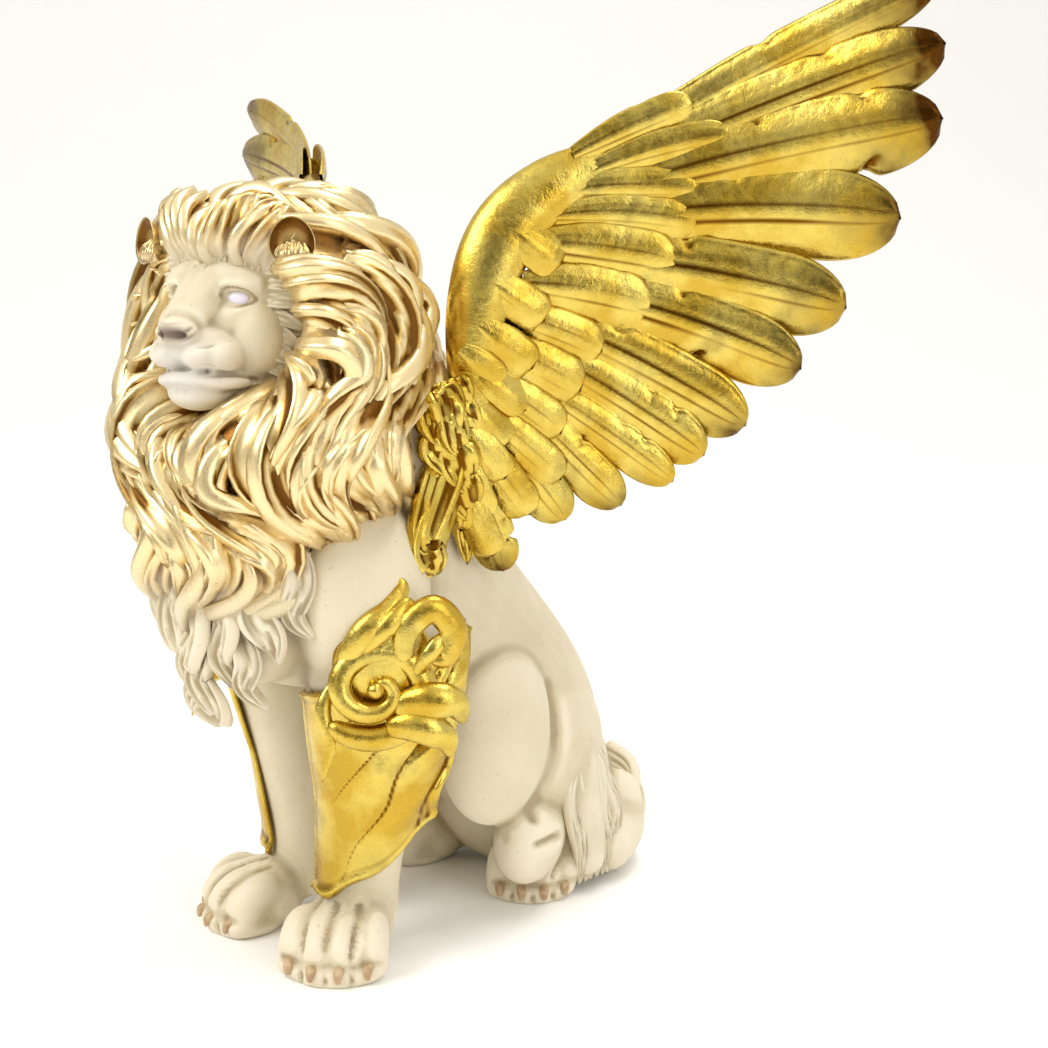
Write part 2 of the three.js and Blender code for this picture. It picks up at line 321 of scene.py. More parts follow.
def goldLeaf():
    # imitation gold leaf laid on size: mirror bright, with fine crinkles and grain; its brown patches and
    # browner feather tips are partly the leaf's amber tone and partly painted dark reflection, and painted
    # shade darkens its hollows
    finish, tree, shader, where = startFinish("imitationGoldLeaf")
    cloud = addNode(tree, "ShaderNodeTexNoise", {"Scale": perMetre(26), "Detail": 3.0},
            {"Vector": where})
    crinkle = addNode(tree, "ShaderNodeTexNoise",
            {"Scale": perMetre(5.0), "Detail": 5.0, "Roughness": 0.62}, {"Vector": where})
    grain = addNode(tree, "ShaderNodeTexNoise", {"Scale": perMetre(0.8), "Detail": 2.0},
            {"Vector": where})
    hollow = addNode(tree, "ShaderNodeAttribute", {"attribute_name": "hollow"}).outputs["Fac"]
    dark = addNode(tree, "ShaderNodeAttribute", {"attribute_name": "dark"}).outputs["Fac"]
    base = blendColours(tree, spread(tree, cloud.outputs["Fac"], 0.38, 0.62), "#C2A03A", "#DCC564")
    # brown patches and browner tips: partly the leaf's amber tone, partly painted dark reflection
    brown = addNode(tree, "ShaderNodeMath", {"operation": "ADD"}, {}).outputs[0]
    tree.links.new(spread(tree, cloud.outputs["Fac"], 0.3, 0.7, -0.45, 0.5), brown.node.inputs[0])
    tree.links.new(spread(tree, dark, 0.0, 1.0, -0.15, 0.75), brown.node.inputs[1])
    tipped = blendColours(tree, spread(tree, brown, 0.0, 0.9), base, "#4E2E0C")
    # painted shade in the hollows
    deep = blendColours(tree, spread(tree, hollow, 0.54, 0.9), tipped, "#6A4209")
    speckled = blendColours(tree, spread(tree, grain.outputs["Fac"], 0.62, 0.72, 0, 0.5),
            deep, "#8A6C1C")
    tree.links.new(speckled, shader.inputs["Base Color"])
    shader.inputs["Metallic"].default_value = 1.0
    tree.links.new(spread(tree, crinkle.outputs["Fac"], 0.3, 0.7, 0.16, 0.34),
            shader.inputs["Roughness"])
    fine = addNode(tree, "ShaderNodeBump", {"Strength": 0.22, "Distance": 0.0003},
            {"Height": grain.outputs["Fac"]})
    broad = addNode(tree, "ShaderNodeBump", {"Strength": 0.3, "Distance": 0.0012},
            {"Height": crinkle.outputs["Fac"], "Normal": fine.outputs["Normal"]})
    tree.links.new(broad.outputs["Normal"], shader.inputs["Normal"])
    return finish


def eyeGlaze():
    # a blank eye under clear gloss, very slightly violet
    finish, tree, shader, where = startFinish("glossEyeEnamel")
    cloud = addNode(tree, "ShaderNodeTexNoise", {"Scale": perMetre(4), "Detail": 2.0}, {"Vector": where})
    tree.links.new(blendColours(tree, cloud.outputs["Fac"], "#D6CFE4", "#EFEBF4"),
            shader.inputs["Base Color"])
    shader.inputs["Roughness"].default_value = 0.12
    shader.inputs["Coat Weight"].default_value = 0.6
    return finish


def hornPaint():
    # claws: thin orange-brown paint
    finish, tree, shader, where = startFinish("brownClawPaint")
    cloud = addNode(tree, "ShaderNodeTexNoise", {"Scale": perMetre(3), "Detail": 3.0}, {"Vector": where})
    tree.links.new(blendColours(tree, spread(tree, cloud.outputs["Fac"], 0.35, 0.65), "#A98A66",
            "#C4AA86"),
            shader.inputs["Base Color"])
    shader.inputs["Roughness"].default_value = 0.45
    return finish


resin = (castResin(), "cream_resin")
pearl = (pearlPaint(), "pearl_gold_paint")
leaf = (goldLeaf(), "gold_leaf")
enamel = (eyeGlaze(), "eye_gloss")
horn = (hornPaint(), "cream_resin")
print("finishes made")


trunkPlan = {
    "voxel": 2.15,
    "rounds": 20,
    "spine": [(0, -74, 248), (0, -36, 212), (0, 30, 152), (0, 78, 96), (0, 96, 44)],
    "halfWidth": [46, 60, 58, 62, 56],
    "halfDepth": [46, 62, 60, 58, 48],
}

foreLegs = {
    1: {"line": [(48, -74, 200), (46, -70, 150), (40, -66, 96), (31, -64, 46), (30, -66, 8)],
        "yaw": 0.54,
        "toes": (49, -110)},
    -1: {"line": [(-48, -64, 200), (-45, -50, 150), (-40, -43, 96), (-35, -41, 46), (-36, -44, 8)],
        "yaw": -0.42,
        "toes": (-60, -101)},
}
hindFeet = {
    1: {"yaw": 0.75, "toes": (63, 39)},
    -1: {"yaw": -0.75, "toes": (-63, 39)},
}
forePaw = {"length": 64, "width": 58, "height": 36}
hindPaw = {"length": 60, "width": 52, "height": 33}
legRadius = [36, 30, 25, 20.5, 22]


def pawPoint(foot, size, across, back, up):
    # a point of a paw from its middle toe tips: across it, back from them and up from the ground
    ahead = (math.sin(foot["yaw"]), -math.cos(foot["yaw"]))
    side = (math.cos(foot["yaw"]), math.sin(foot["yaw"]))
    x = foot["toes"][0] - ahead[0] * back * size["length"] + side[0] * across * size["width"]
    y = foot["toes"][1] - ahead[1] * back * size["length"] + side[1] * across * size["width"]
    return (x, y, up * size["height"])


toeSteps = (-0.36, -0.125, 0.125, 0.36)


def toeBack(across):
    return 0.06 + 0.9 * across ** 2


def addPaw(bm, foot, size):
    w, l, h = size["width"], size["length"], size["height"]
    for across in toeSteps:
        route = [pawPoint(foot, size, across * 0.8, 0.62, 0.62),
                pawPoint(foot, size, across * 0.95, toeBack(across) + 0.26, 0.6),
                pawPoint(foot, size, across, toeBack(across) + 0.13, 0.34),
                pawPoint(foot, size, across, toeBack(across) + 0.16, 0.0)]
        addBar(bm, route, [w * 0.12, w * 0.145, w * 0.148, w * 0.13],
                [h * 0.26, h * 0.32, h * 0.3, h * 0.26],
               (0, 0.2, 1), 12, 14)
    addMass(bm, pawPoint(foot, size, 0, 0.55, 0.42), (w * 0.45, l * 0.38, h * 0.56), foot["yaw"])
    addMass(bm, pawPoint(foot, size, 0, 0.4, 0.12), (w * 0.47, l * 0.36, h * 0.3), foot["yaw"])


def makeTrunk():
    bm = bmesh.new()
    plan = trunkPlan
    addBar(bm, plan["spine"], plan["halfWidth"], plan["halfDepth"], (0, 1, 1), 30, 36)
    addMass(bm, (0, 98, 56), (60, 52, 60))
    addMass(bm, (0, -72, 208), (60, 56, 64))
    addMass(bm, (0, -108, 186), (34, 26, 34))
    for side in (1, -1):
        addMass(bm, (side * 40, 66, 84), (34, 50, 50))
        addMass(bm, (side * 52, 20, 104), (26, 40, 50), side * 0.12, -0.12)
        addMass(bm, (side * 56, 44, 40), (19, 34, 26), side * 0.4)
        addMass(bm, (side * 46, -74, 198), (30, 40, 50), side * 0.1)
        addMass(bm, (side * 38, -20, 258), (26, 34, 60), 0, 0.25)
        addBar(bm, foreLegs[side]["line"], legRadius, legRadius, (0, -1, 0), 22, 26)
        addPaw(bm, foreLegs[side], forePaw)
        addPaw(bm, hindFeet[side], hindPaw)
    # the tail comes round the left haunch, and its end hangs beside the hind paw in a thick brush
    addBar(bm, [(4, 140, 70), (26, 146, 40), (48, 136, 26), (62, 112, 20), (70, 92, 14)],
           [14, 15, 18, 17, 11], [16, 20, 20, 17, 12], (0, 0, 1), 24, 20)
    addBar(bm, [(50, 74, 112), (60, 78, 92), (64, 80, 60), (66, 82, 30), (72, 80, 8)],
           [8, 12, 15, 15, 10], [7, 11, 12, 12, 8], (1, 0.2, 0), 24, 18)
    addMass(bm, (52, 132, 34), (16, 18, 22), 0.4)
    mesh = melt(bm, plan["voxel"], plan["rounds"])
    place, normal = readSkin(mesh)
    sculptTrunk(place, normal)
    place[:, 2] = np.maximum(place[:, 2], 0.0)
    writeSkin(mesh, place)
    return newPiece("cast_body", toBmesh(mesh), resin, 4)


def sculptTrunk(place, normal):
    for side in (1, -1):
        for feet, size in ((foreLegs[side], forePaw), (hindFeet[side], hindPaw)):
            for across in (-0.245, 0.0, 0.245):
                groove = [pawPoint(feet, size, across * 0.75, 0.6, 0.98),
                        pawPoint(feet, size, across * 0.95, toeBack(across) + 0.2, 0.9),
                        pawPoint(feet, size, across, toeBack(across) - 0.02, 0.45),
                        pawPoint(feet, size, across, toeBack(across) - 0.02, 0.0)]
                carveLine(place, normal, groove, 1.8, 3.4)
        # thigh: the fold behind the knee and the hock's long tendon
        carveLine(place, normal, [(side * 60, -22, 124), (side * 66, -26, 98), (side * 66, -14, 66),
                (side * 64, 10, 50)], 4, 2.5)
        carveLine(place, normal, [(side * 72, 30, 60), (side * 76, 46, 86), (side * 66, 56, 128)],
                5, 3.2)
        carveLine(place, normal, [(side * 80, 22, 46), (side * 74, 44, 44), (side * 60, 56, 40)], 3, 3.0)
        # the shoulder stands out from the neck and from the ribs
        carveLine(place, normal, [(side * 62, -34, 232), (side * 68, -34, 196), (side * 60, -38, 160)],
                9, 3.0)
        pressAt(place, (side * 70, -76, 204), (22, 26, 30), (side * 5, -2, 0))


trunk = makeTrunk()
print("trunk made", len(trunk.data.polygons))


def makeClaws():
    bm = bmesh.new()
    for side in (1, -1):
        for feet, size in ((foreLegs[side], forePaw), (hindFeet[side], hindPaw)):
            for across in toeSteps:
                route = [pawPoint(feet, size, across, toeBack(across) + 0.08, 0.3),
                        pawPoint(feet, size, across, toeBack(across) - 0.015, 0.24),
                        pawPoint(feet, size, across, toeBack(across) - 0.03, 0.1)]
                addBar(bm, route, [2.8, 2.6, 1.3], [2.2, 2.2, 1.0], (0, 0, 1), 10, 12)
    return newPiece("claws", bm, horn)


makeClaws()


headPlan = {"centre": (-1, -114, 342), "yaw": 0.21, "voxel": 0.95, "rounds": 18}


def onHead(left, ahead, up):
    cx, cy, cz = headPlan["centre"]
    s, c = math.sin(headPlan["yaw"]), math.cos(headPlan["yaw"])
    return (cx + left * c + ahead * s, cy + left * s - ahead * c, cz + up)


def headAxes(left, ahead, up):
    # a direction given in the head's own axes
    return np.array(onHead(left, ahead, up)) - np.array(headPlan["centre"])


def makeHead():
    bm = bmesh.new()
    yaw = headPlan["yaw"]
    for left, ahead, up, radii, pitch in (
            (0, -7, 6, (34, 29, 28), 0.0),       # skull
            (0, 6, -8, (27, 23, 26), 0.0),       # middle of the face
            (0, 22, -18, (20.5, 19, 12.5), 0.0),  # muzzle
            (0, 39.5, -11.0, (10.8, 8, 7.2), 0.0),  # nose
            (0, 23, -39.0, (16.5, 16, 10), 0.1),  # chin
            (0, 3, -33, (26, 26, 15), 0.0)):     # jaw
        addMass(bm, onHead(left, ahead, up), radii, yaw, pitch)
    addBar(bm, [onHead(0, 6, 21), onHead(0, 14, 13), onHead(0, 26, 1), onHead(0, 36, -8)],
           [16, 14, 12.5, 11.5], [10, 10, 9.5, 7], headAxes(0, 0.75, 0.66), 20, 24)
    addBar(bm, [onHead(-27, 6, 8), onHead(-15, 15, 13), onHead(0, 15, 15), onHead(15, 15, 13),
            onHead(27, 6, 8)],
           [6, 7, 8, 7, 6], [6, 6.5, 6, 6.5, 6], headAxes(0, 1, 0.2), 24, 20)
    addBar(bm, [onHead(-21, 12, -35), onHead(-15, 28, -34.5), onHead(0, 37.5, -33),
            onHead(15, 28, -34.5),
            onHead(21, 12, -35)], [3.6, 3.6, 3.4, 3.6, 3.6], [5, 6, 6, 6, 5], headAxes(0, 1, 0), 26, 20)
    for side in (1, -1):
        addMass(bm, onHead(side * 7.6, 31.5, -22), (9.6, 13, 6.8), yaw + side * 0.3)
        addMass(bm, onHead(side * 12.5, 20, -22), (11.5, 18, 9.5), yaw + side * 0.35)
        addMass(bm, onHead(side * 18.5, 3, -15), (16, 20, 21), yaw + side * 0.3)
    mesh = melt(bm, headPlan["voxel"], headPlan["rounds"])
    place, normal = readSkin(mesh)
    sculptFace(place, normal)
    writeSkin(mesh, place)
    return newPiece("head", toBmesh(mesh), resin, 5)


def sculptFace(place, normal):
    ahead = headAxes(0, 1, 0)
    up = headAxes(0, 0, 1)

    def groove(stops, width, depth):
        # a carved line on the current side, through stops given as left, ahead and up
        carveLine(place, normal, [onHead(side * a, b, c) for a, b, c in stops], width, depth)

    for side in (1, -1):
        out = headAxes(side, 0, 0)
        # eye sockets, brows and cheekbones
        pressAt(place, onHead(side * 17.5, 19, 4.2), (7.2, 8, 4.2), -ahead * 4.4)
        pressAt(place, onHead(side * 11, 23, 1), (3.6, 7, 6), -ahead * 2.4 - out * 0.8)
        pressAt(place, onHead(side * 16, 19, 11), (9.5, 8, 3.0), ahead * 1.6 - up * 0.5)
        groove([(9.5, 21, 2.5), (15, 21, 8.6), (21, 17, 7.4), (25, 12, 3.4)], 1.0, 1.9)
        groove([(8.2, 22, 0.6), (12, 21, -0.6), (18, 19, -0.4), (24, 13, 2.4)], 0.9, 1.1)
        pressAt(place, onHead(side * 24, 10, -7), (7, 9, 5), out * 1.4)
        # the muzzle's side, where it meets the cheek
        groove([(9, 30, -4), (14, 25, -10), (22, 14, -20), (24, 8, -32)], 4.0, 0.5)
        # nostril and the side of the nose leather
        pressAt(place, onHead(side * 5.6, 46, -12.2), (2.6, 4.0, 1.9), -ahead * 5.0)
        groove([(6, 46, -11.6), (9.4, 43, -10), (11.4, 38, -7)], 0.9, 2.0)
        groove([(0, 47, -17.4), (5, 45, -16), (10, 41, -13.4), (12, 36, -10)], 0.9, 1.6)
        groove([(0, 47, -6.4), (7, 44, -5.4), (11, 38, -4.4)], 1.1, 0.7)
        # mouth line, raised in the middle, and the lower lip's flap
        groove([(0, 44, -27.0), (6, 42.5, -29.4), (13, 36.5, -30.2), (18, 28, -30.6), (22, 17, -33),
               (25, 11, -35)], 1.1, 3.0)
        groove([(3, 41, -33.4), (12, 34, -33.6), (20, 21, -35)], 1.3, -1.0)
        groove([(2, 38, -38.6), (13, 30, -39), (20, 18, -40)], 1.2, 1.2)
        # whisker rows
        for row in range(4):
            z = -17.5 - row * 3.0
            groove([(10.5, 43 - row, z + 0.6), (15.5, 36, z), (20.5, 26, z + 1.5)], 0.8, 1.3)
        # frown folds between the brows
        groove([(3.2, 21, 19), (4.2, 24, 12), (6.8, 24, 7)], 1.1, 1.0)
        # hair drawn back over the forehead and cheeks
        for row in range(9):
            z = 24 - row * 5.4
            groove([(17 + row * 0.9, 14 - row * 0.8, z * 0.9), (25 + row * 0.4, 2 - row * 0.5, z),
                   (31, -12, z + 2)], 0.9, 0.7)
    groove([(0, 48, -16.5), (0, 46, -22), (0, 43, -28.5)], 1.3, 4.0)
    groove([(0, 20, 22), (0, 26, 10), (0, 33, 3)], 2.2, 0.8)
    pressAt(place, onHead(0, 46, -6), (7, 5, 2.2), ahead * 1.2)


head = makeHead()
headPlace = readSkin(head.data)[0] / mm


def nearness(place, centre, radius):
    return np.exp(-np.sum(((place - np.array(centre)) / np.array(radius)) ** 2, axis=1))


muzzlePale = nearness(headPlace, onHead(0, 37, -30), (22, 19, 17)) * 1.15
nosePaint = nearness(headPlace, onHead(0, 47, -11.5), (13, 9, 6.0)) ** 2 * 1.6
paint(head, "pale", np.clip(muzzlePale, 0, 0.95))
# the nose leather is painted dark, and the nostrils darker still: painted shade in their openings
nostrilShade = sum(nearness(headPlace, onHead(s * 5.6, 43, -12.2), (3.0, 6, 2.1)) for s in (1, -1))
paint(head, "dark", np.clip(nosePaint * 0.6 + nostrilShade * 0.9, 0, 1))
print("head made", len(head.data.polygons))


def makeEyes():
    bm = bmesh.new()
    for side in (1, -1):
        addMass(bm, onHead(side * 16.4, 14.4, 3.8), (5.4, 4.6, 3.8), headPlan["yaw"] + side * 0.35, 0, 4)
    return newPiece("eyes", bm, enamel)


makeEyes()


manePlan = {
    "voxel": 3.0,
    "rounds": 14,
    "masses": [((2, -84, 326), (66, 58, 66)), ((0, -96, 276), (68, 54, 58)),
        ((-6, -112, 232), (48, 36, 42)), ((2, -52, 292), (54, 42, 62)), ((0, -80, 350), (46, 46, 44))],
    "faceHollow": 47,
    "spacing": 16.5,
    "wave": 74,
    "cheekHanks": 20,
    "lowestRoot": 220,
    "lowestRootBehind": 252,
    "behind": -48,
    "frontEdge": -86,  # hanks rooted ahead of this belong to the front piece
}


def makeManeCore():
    bm = bmesh.new()
    for centre, radii in manePlan["masses"]:
        addMass(bm, centre, radii)
    mesh = melt(bm, manePlan["voxel"], manePlan["rounds"])
    place = readSkin(mesh)[0]
    # set back around the face, as a bowl that the face looks out of
    rel = place - np.array(headPlan["centre"])
    axisL, axisA = headAxes(1, 0, 0), headAxes(0, 1, 0)
    left, ahead, up = rel @ axisL, rel @ axisA, rel[:, 2] + 9
    ring = np.sqrt(left ** 2 + (up * 1.2) ** 2) / manePlan["faceHollow"]
    limit = -18 + 20 * np.clip(ring, 0, 1) ** 3 + 60 * np.clip(ring - 1, 0, 9)
    over = np.maximum(ahead - limit, 0)
    place -= np.outer(over, axisA)
    writeSkin(mesh, place)
    return mesh


def addLock(bm, path, normals, halfWidth, height, bend, steps=20, around=34):
    # a hank of hair: a broad satin ribbon with crisp rims, two wandering ridges and a point
    path, normals = np.array(path), np.array(normals)
    shiftA, shiftB = random.uniform(0, 6), random.uniform(0, 6)

    def place(u, v):
        centre, side, out = alongPath(path, u, curveThrough(normals, u))
        turn = (bend * np.sin(u * math.pi * 1.6))[:, None]
        side2 = side * np.cos(turn) + out * np.sin(turn)
        out2 = out * np.cos(turn) - side * np.sin(turn)
        full = np.clip(np.sin(math.pi * np.clip(0.22 + 0.78 * u, 0, 1)), 0, 1) ** 0.75
        full = full * np.clip(u / 0.03, 0, 1) ** 0.5
        x = np.cos(2 * math.pi * v)
        s = np.sin(2 * math.pi * v)
        ridgeA = 0.34 * np.exp(-((x + 0.28 - 0.3 * np.sin(4.5 * u + shiftA)) / 0.13) ** 2)
        ridgeB = 0.20 * np.exp(-((x - 0.38 - 0.24 * np.sin(5.5 * u + shiftB)) / 0.11) ** 2)
        rim = 0.34 * np.exp(-((np.abs(x) - 0.84) / 0.09) ** 2)
        dish = 0.62 - 0.22 * np.exp(-(x / 0.6) ** 2)
        shell = np.abs(s) ** 0.5
        lift = np.where(s >= 0, shell * (dish + ridgeA + ridgeB + rim), -0.5 * np.abs(s))
        w = halfWidth * full
        return centre + side2 * (x * w)[:, None] + out2 * (lift * height * full ** 0.5)[:, None]
    gridForm(bm, steps, around, place)


def flowLock(tree, start, length, lift, faceCentre, steps=16):
    # walks over the mane's core, away from the face and then down; neighbours swing together in long waves
    pos = Vector(start)
    path, normals = [], []
    jitter = random.uniform(-0.5, 0.5)
    for i in range(steps + 1):
        t = i / steps
        near, normal, _, _ = tree.find_nearest(pos)
        normal = normal.normalized()
        away = near - Vector(faceCentre)
        reach = away.length
        round_ = math.atan2(away.x, away.z)
        away.normalize()
        down = Vector((0, 0, -1))
        pull = min(max((reach - 34) / 40, 0.1), 1.25) + 0.3 * t
        flow = away * (1.1 - 0.45 * min(pull, 1)) + down * pull
        flow -= normal * flow.dot(normal)
        flow.normalize()
        across = normal.cross(flow)
        angle = 0.9 * math.sin(2 * math.pi * reach / manePlan["wave"] + 2.0 * round_ + jitter)
        step = flow * math.cos(angle) + across * math.sin(angle)
        height = lift * (0.1 + 0.9 * math.sin(0.5 * math.pi * min(t * 1.3, 1)))
        path.append(near + normal * height)
        normals.append(normal)
        pos = near + step * (length / steps)
    path, normals = np.array(path), np.array(normals)
    for _ in range(5):
        path[1:-1] = 0.5 * path[1:-1] + 0.25 * (path[:-2] + path[2:])
        normals[1:-1] = 0.5 * normals[1:-1] + 0.25 * (normals[:-2] + normals[2:])
    return path, normals


def finishHair(name, bm, goneFrom, goneTo):
    # pearl paint that is gone below a height: it starts to thin at goneFrom and ends at goneTo
    piece = newPiece(name, bm, pearl, 3)
    height = readSkin(piece.data)[0][:, 2] / mm
    paint(piece, "bare", np.clip((goneFrom - height) / (goneFrom - goneTo), 0, 1))


def rootsOn(bm, spacing):
    # evenly spread starting points over the core, away from the face, highest and nearest the face last
    axisL, axisA = headAxes(1, 0, 0), headAxes(0, 1, 0)
    middle = np.array(headPlan["centre"])
    spots = [np.array(v.co) for v in bm.verts]
    random.shuffle(spots)
    kept = []
    for spot in spots:
        rel = spot - middle
        left, ahead, up = rel @ axisL, rel @ axisA, rel[2] + 9
        if ahead > -20 and math.hypot(left, up * 1.2) < manePlan["faceHollow"] - 1:
            continue
        if spot[2] < manePlan["lowestRoot"]:
            continue
        if spot[1] > manePlan["behind"] and spot[2] < manePlan["lowestRootBehind"]:
            continue
        if all(np.sum((spot - other) ** 2) > spacing ** 2 for other in kept):
            kept.append(spot)
    return kept


earPlan = {"left": 44, "ahead": 5, "up": 29, "wide": 11, "high": 11.5, "clear": 11}


def makeMane():
    core = makeManeCore()
    bm = toBmesh(core)
    tree = BVHTree.FromBMesh(bm)
    roots = rootsOn(bm, manePlan["spacing"])
    finishHair("mane_core", bm, 224, 196)
    face = onHead(0, -4, -6)
    front, back = bmesh.new(), bmesh.new()
    ears = [np.array(onHead(side * earPlan["left"], earPlan["ahead"], earPlan["up"]))
            for side in (1, -1)]
    for i in range(manePlan["cheekHanks"]):
        # a ring of hanks that starts under the cheek fur
        turn = 2 * math.pi * i / manePlan["cheekHanks"]
        near, _, _, _ = tree.find_nearest(Vector(onHead(43 * math.sin(turn), 2,
                -7 + 41 * math.cos(turn))))
        roots.append(np.array(near))
    for spot in roots:
        size = random.choice((0.75, 1.0, 1.0, 1.25, 1.45))
        path, normals = flowLock(tree, spot, 66 * size + 14, 3.5 + 2 * size, face)
        if min(np.min(np.linalg.norm(path[:12] - ear, axis=1)) for ear in ears) < earPlan["clear"]:
            continue
        addLock(front if spot[1] < manePlan["frontEdge"] else back, path, normals,
                11.8 * size, 7.6 * size, random.choice((-0.7, 0.7)), 20, 32)
    finishHair("mane_front", front, 222, 190)
    finishHair("mane_back", back, 222, 190)
    print("locks", len(roots))


makeMane()


def addTuft(bm, route, half, height, facing):
    # a short free hank along its own path
    addLock(bm, route, [facing] * len(route), half, height, 0.3, 14, 22)


def makeForelock():
    # hair that springs from the brow and curls over to both sides, cream at the root and gold further up
    bm = bmesh.new()
    count = 11
    for i in range(count):
        fan = (i / (count - 1) - 0.5) * 2
        lean = math.copysign(abs(fan) ** 0.7, fan)
        size = random.uniform(0.85, 1.15)
        route = [onHead(20 * fan, 13 - 8 * fan ** 2, 20 - 5 * fan ** 2),
                onHead(23 * fan + 3 * lean, 19 - 10 * fan ** 2, 31 * size - 5 * fan ** 2),
                onHead(27 * fan + 8 * lean, 13 - 9 * fan ** 2, 43 * size - 6 * fan ** 2),
                onHead(30 * fan + 9 * lean, 2 - 8 * fan ** 2, 50 * size - 10 * fan ** 2),
                onHead(32 * fan + 13 * lean, -12 - 6 * fan ** 2, 46 * size - 14 * fan ** 2)]
        addLock(bm, route, [headAxes(0.3 * fan, 1, 0.5)] * 5, random.uniform(7.5, 10), 6.0,
                random.choice((-0.8, 0.8)), 24, 34)
    for i in range(20):
        fan = (i / 19 - 0.5) * 2
        route = [onHead(24 * fan, 17 - 11 * fan ** 2, 17 - 7 * fan ** 2),
                onHead(25 * fan, 17.5 - 11 * fan ** 2, 24 - 7 * fan ** 2),
                onHead(27 * fan + random.uniform(-3, 3), 15 - 11 * fan ** 2, 33 - 8 * fan ** 2)]
        addTuft(bm, route, random.uniform(3.2, 4.6), 2.0, headAxes(0.3 * fan, 1, 0.3))
    piece = newPiece("forelock", bm, pearl, 2)
    up = readSkin(piece.data)[0][:, 2] / mm - headPlan["centre"][2]
    paint(piece, "bare", np.clip((38 - up) / 14, 0, 1))


makeForelock()


def makeCheekFur():
    # short pointed tufts that frame the face
    bm = bmesh.new()
    for side in (1, -1):
        for row in range(3):
            for i in range(9):
                up = 26 - i * 7.6 + row * 2.5
                left = 29.5 + row * 3.2 - max(0, -up - 24) * 0.35 - max(0, up - 12) * 0.35
                ahead = 7 - row * 6.5 + random.uniform(-1, 1)
                size = random.uniform(0.75, 1.4)
                lift = random.uniform(-3, 3)
                route = [onHead(side * (left - 5), ahead - 1, up),
                        onHead(side * (left + 1 * size), ahead - 1.5 * size, up + 0.05 * up),
                        onHead(side * (left + 7 * size), ahead - 6 * size,
                        up - 1.5 * size + 0.14 * up + lift * 0.4),
                        onHead(side * (left + 14 * size), ahead - 13 * size,
                        up - 5 * size + 0.3 * up + lift)]
                addTuft(bm, route, random.uniform(3.6, 5.2), 3.0, headAxes(side * 0.7, 0.7, 0))
    newPiece("cheek_fur", bm, resin, 2)


makeCheekFur()


def makeEars():
    bm = bmesh.new()
    for side in (1, -1):
        middle = np.array(onHead(side * earPlan["left"], earPlan["ahead"] + 4, earPlan["up"]))
        facing = unit(headAxes(side * 0.5, 1, 0.1))
        across = unit(np.cross(facing, (0, 0, 1)))
        up = np.cross(across, facing)

        def place(u, v):
            # a cup: from its floor out to the rolled rim and round to the back
            inside = np.clip(u / 0.5, 0, 1)
            outside = np.clip((u - 0.5) / 0.5, 0, 1)
            radius = np.where(u <= 0.5, inside ** 0.8,
                    1.0 + 0.1 * np.sin(outside * math.pi) - 0.75 * outside)
            depth = np.where(u <= 0.5, -5 * (1 - inside ** 2.4),
                    -outside * 14 + 1.8 * np.sin(outside * math.pi))
            turn = 2 * math.pi * v
            a = np.cos(turn) * earPlan["wide"] * radius
            b = np.sin(turn) * (earPlan["high"] + 1.5 * np.sin(turn)) * radius
            return middle + across * a[:, None] + up * b[:, None] + facing * depth[:, None]
        gridForm(bm, 26, 36, place)
        for i in range(5):
            fan = i / 4 - 0.5
            route = [middle + across * (fan * 14) - up * 9 - facing * 4,
                    middle + across * (fan * 12) - up * 4 - facing * 2.5,
                    middle + across * (fan * 9) + up * (3 - 4 * abs(fan)) - facing * 4]
            addTuft(bm, route, 2.6, 2.4, facing)
    piece = newPiece("ears", bm, pearl, 4)
    height = readSkin(piece.data)[0][:, 2] / mm
    paint(piece, "bare", np.clip((368 - height) / 12, 0, 0.8))


makeEars()


def makeBreastCurls():
    # the lowest curls of the breast are bare cast resin, and lie over the forelegs' tops
    bm = bmesh.new()
    curls = [((-2, -138, 206), (4, -142, 186), (-8, -140, 166), (-2, -130, 148), 9),
            ((-16, -136, 210), (-22, -138, 190), (-14, -138, 172), (-20, -128, 154), 9),
            ((12, -134, 208), (20, -138, 190), (12, -136, 172), (14, -126, 152), 8),
            ((-28, -128, 214), (-36, -132, 196), (-30, -130, 178), (-36, -120, 160), 9),
            ((26, -126, 214), (32, -132, 196), (38, -126, 184), (34, -118, 170), 9),
            ((4, -136, 176), (-4, -138, 160), (6, -132, 144), (-2, -122, 132), 7),
            ((-12, -134, 176), (-6, -136, 160), (-16, -130, 144), (-10, -120, 130), 7),
            ((40, -112, 226), (48, -118, 212), (44, -118, 196), (52, -112, 184), 8),
            ((-44, -112, 226), (-50, -116, 210), (-46, -114, 194), (-52, -106, 180), 8),
            ((18, -130, 186), (26, -132, 172), (20, -128, 158), (28, -120, 146), 7)]
    for *route, half in curls:
        ahead = unit(np.array([route[1][0] / 60, -1, 0.1]))
        addLock(bm, route, [ahead] * 4, half, 8, random.choice((-0.5, 0.5)), 24, 30)
    newPiece("breast_curls", bm, resin, 3)


makeBreastCurls()


trunkTree = BVHTree.FromObject(trunk, bpy.context.evaluated_depsgraph_get())


def skinPath(side, stops, lift):
    # points on the trunk's side at the given (y, z), raised by lift
    path = []
    for y, z in stops:
        near, normal, _, _ = trunkTree.find_nearest(Vector((side * 95 * mm, y * mm, z * mm)))
        path.append(np.array(near + normal * lift * mm) / mm)
    return path


